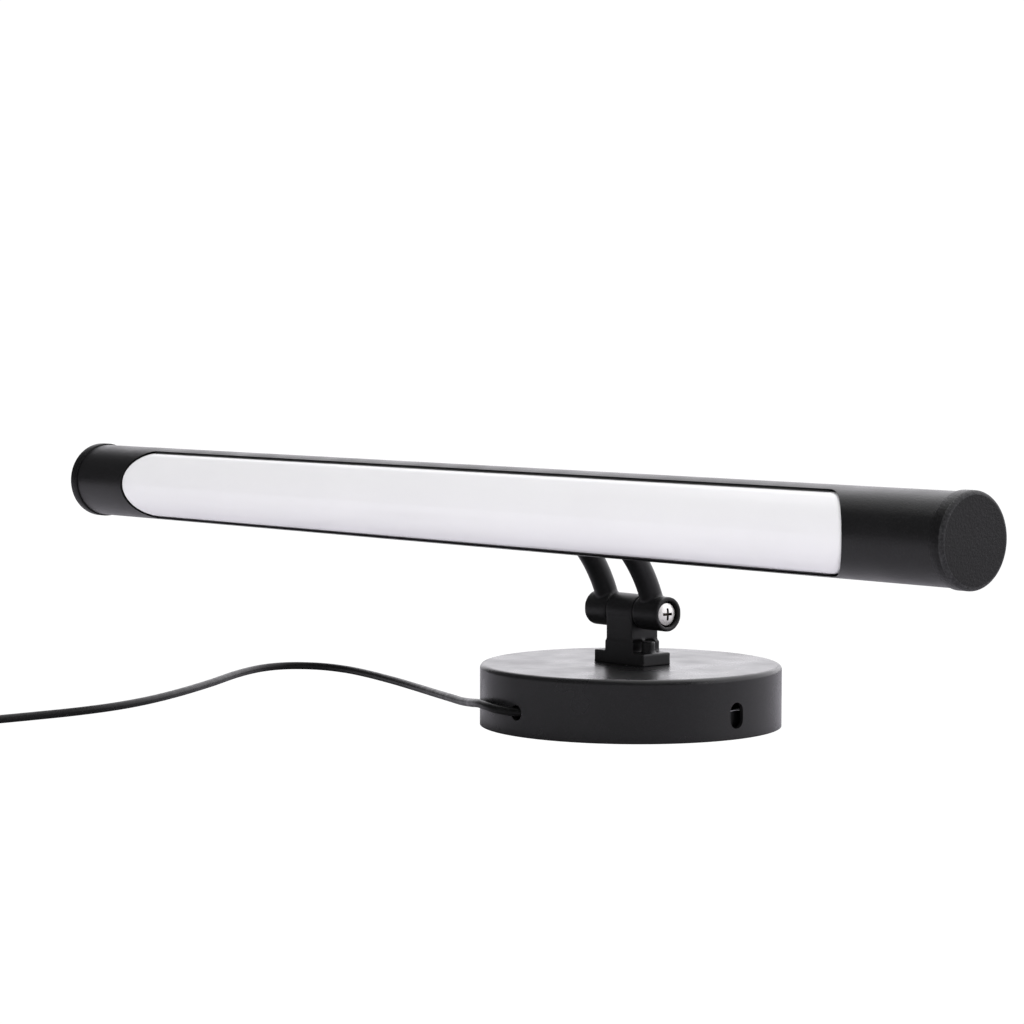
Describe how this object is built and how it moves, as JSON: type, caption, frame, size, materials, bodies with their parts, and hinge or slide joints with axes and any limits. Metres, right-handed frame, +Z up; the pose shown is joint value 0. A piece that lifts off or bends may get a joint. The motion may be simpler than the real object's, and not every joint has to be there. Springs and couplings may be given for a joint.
{
  "type": "led bar lamp",
  "caption": "Tubular LED bar lamp: a long black tube with an opal window on two curved arms that tilt on a knuckle above a low round base, with a thin cord.",
  "frame": {"origin": "centre of the round base's underside, where the lamp stands", "axes": "+Z up, +X along the bar towards the end by the hinge screw's head, -Y the way the window faces and the cord leaves"},
  "size_m": [0.462, 0.292, 0.0975],
  "materials": {
    "black_powder_coat": "fine-textured matt black powder coat on steel and zinc alloy",
    "black_coated_aluminium": "fine-textured matt black powder coat on aluminium",
    "black_plastic": "fine-grained matt black moulded plastic",
    "black_rubber": "soft matt black",
    "black_cord": "smooth satin black soft PVC jacket",
    "opal": "satin opal diffuser, milky white",
    "zinc_steel": "bright zinc plate",
    "nickel": "nickel-plated screw and plug shell",
    "white_plastic": "plain white moulding",
    "green_board": "solder-masked circuit board",
    "dark_parts": "component bodies",
    "white_board": "white solder mask on an aluminium board",
    "phosphor": "yellow phosphor on white LED bodies",
    "raw_aluminium": "mill-finish extrusion",
    "white_wire": "insulated lead",
    "red_wire": "insulated lead",
    "nylon": "black nylon washer"
  },
  "bodies": {
    "base": {"base_cover": "black_powder_coat", "foot_pad": "black_rubber", "mounting_plate": "black_powder_coat", "plate_standoffs": "zinc_steel", "plate_screws": "zinc_steel", "driver_case": "white_plastic", "driver_lid": "white_plastic", "driver_board": "green_board", "driver_components": "dark_parts", "terminal_block": "white_plastic", "terminal_screws": "zinc_steel", "supply_lead": "red_wire", "lamp_lead": "white_wire", "cord_anchor": "black_rubber", "cord_clamp": "black_plastic", "clamp_screws": "zinc_steel", "bracket": "black_powder_coat", "bracket_plate": "zinc_steel", "bracket_screws": "zinc_steel", "cord_tube": "black_cord", "cord_coil": "black_cord", "cord_tail": "black_cord", "plug_grip": "black_plastic", "plug_shell": "nickel", "plug_tongue": "white_plastic"},
    "lamp": {"left_arm": "black_coated_aluminium", "right_arm": "black_coated_aluminium", "arm_lead": "white_wire", "arm_nuts": "zinc_steel", "arm_washers": "zinc_steel", "friction_washers": "nylon", "spring_washer": "zinc_steel", "hinge_screw": "nickel", "hinge_nut": "zinc_steel", "tube_housing": "black_coated_aluminium", "left_end_cap": "black_plastic", "right_end_cap": "black_plastic", "diffuser": "opal", "diffuser_gasket": "black_rubber", "led_carrier": "raw_aluminium", "led_board": "white_board", "led_chips": "phosphor"}
  },
  "joints": [
    {"name": "tilt", "type": "hinge", "parent": "base", "child": "lamp", "pos_m": [0, 0, 0.0415], "axis": [1, 0, 0], "range_deg": [-90, 35]}
  ]
}
